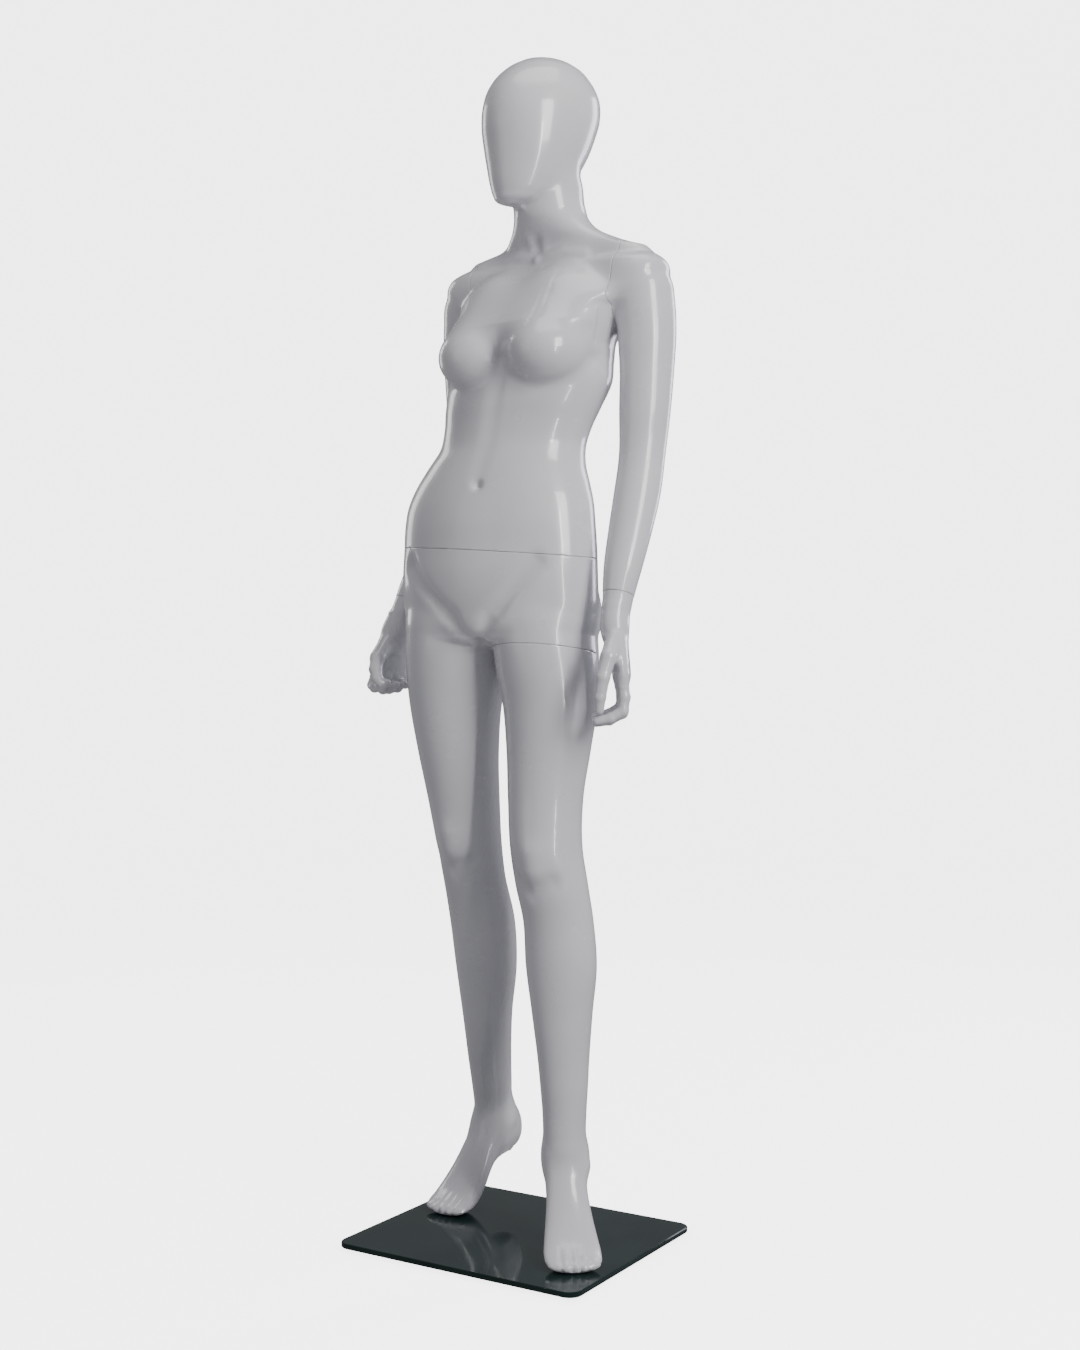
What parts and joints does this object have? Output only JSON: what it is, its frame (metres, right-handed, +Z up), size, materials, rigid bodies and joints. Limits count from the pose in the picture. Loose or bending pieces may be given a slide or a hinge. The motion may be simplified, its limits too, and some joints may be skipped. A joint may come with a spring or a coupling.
{
  "type": "full body mannequin",
  "caption": "Faceless full body female display mannequin in gloss white, in lift-apart sections, standing on a tinted rectangular glass base held by a rod in its foot.",
  "frame": {"origin": "on the floor under the middle of the glass base; the figure's overall box is centred on it within its tolerance", "axes": "+Z up; the hips face -Y; the figure's left side is +X"},
  "size_m": [0.484, 0.3616, 1.78],
  "materials": {
    "gloss_white": "high gloss",
    "inner_plate": "moulded, unpolished",
    "steel": "brushed",
    "chrome": "polished",
    "tinted_glass": "polished, dark green tint",
    "rubber": "matt"
  },
  "bodies": {
    "base": {"glass_base": "tinted_glass", "bumper_front_left": "rubber", "bumper_front_right": "rubber", "bumper_back_left": "rubber", "bumper_back_right": "rubber", "hub_gasket": "rubber", "base_hub": "chrome", "support_rod": "steel", "under_washer": "steel", "hub_bolt": "steel"},
    "left_leg": {"left_leg_shell": "gloss_white", "left_leg_top_plate": "inner_plate", "leg_post": "steel", "rod_socket_tube": "steel", "rod_set_screw": "chrome"},
    "hips_right_leg": {"hips_right_leg_shell": "gloss_white", "hips_waist_plate": "inner_plate", "waist_spigot": "steel", "hips_thigh_plate": "inner_plate", "thigh_socket": "steel"},
    "torso_head": {"torso_head_shell": "gloss_white", "torso_waist_plate": "inner_plate", "waist_socket": "steel", "torso_left_shoulder_plate": "inner_plate", "torso_right_shoulder_plate": "inner_plate", "left_shoulder_socket": "steel", "right_shoulder_socket": "steel"},
    "left_arm": {"left_arm_shell": "gloss_white", "left_arm_shoulder_plate": "inner_plate", "left_shoulder_stud": "steel", "left_arm_wrist_plate": "inner_plate", "left_wrist_socket": "steel"},
    "left_hand": {"left_hand": "gloss_white", "left_wrist_pin": "steel"},
    "right_arm": {"right_arm_shell": "gloss_white", "right_arm_shoulder_plate": "inner_plate", "right_shoulder_stud": "steel", "right_arm_wrist_plate": "inner_plate", "right_wrist_socket": "steel"},
    "right_hand": {"right_hand": "gloss_white", "right_wrist_pin": "steel"}
  },
  "joints": [
    {"name": "rod_lift_off", "type": "slide", "parent": "base", "child": "left_leg", "axis": [0, 0, 1], "range_m": [0, 0.11]},
    {"name": "thigh_lift_off", "type": "slide", "parent": "left_leg", "child": "hips_right_leg", "axis": [0, 0.1386, 0.9903], "range_m": [0, 0.055]},
    {"name": "waist_lift_off", "type": "slide", "parent": "hips_right_leg", "child": "torso_head", "axis": [0.0748, 0, 0.9972], "range_m": [0, 0.1]},
    {"name": "left_shoulder_turn", "type": "hinge", "parent": "torso_head", "child": "left_arm", "pos_m": [0.158, 0.054, 1.412], "axis": [0.9968, 0, -0.0797], "range_deg": [-20, 20]},
    {"name": "right_shoulder_turn", "type": "hinge", "parent": "torso_head", "child": "right_arm", "pos_m": [-0.078, 0.055, 1.405], "axis": [-0.9933, 0.0596, -0.0993], "range_deg": [-20, 2]},
    {"name": "left_wrist_turn", "type": "hinge", "parent": "left_arm", "child": "left_hand", "pos_m": [0.188, -0.023, 0.966], "axis": [-0.0132, -0.2642, -0.9644], "range_deg": [-20, 20]},
    {"name": "right_wrist_turn", "type": "hinge", "parent": "right_arm", "child": "right_hand", "pos_m": [-0.216, 0.022, 0.966], "axis": [-0.2203, -0.3916, -0.8934], "range_deg": [-20, 20]}
  ]
}
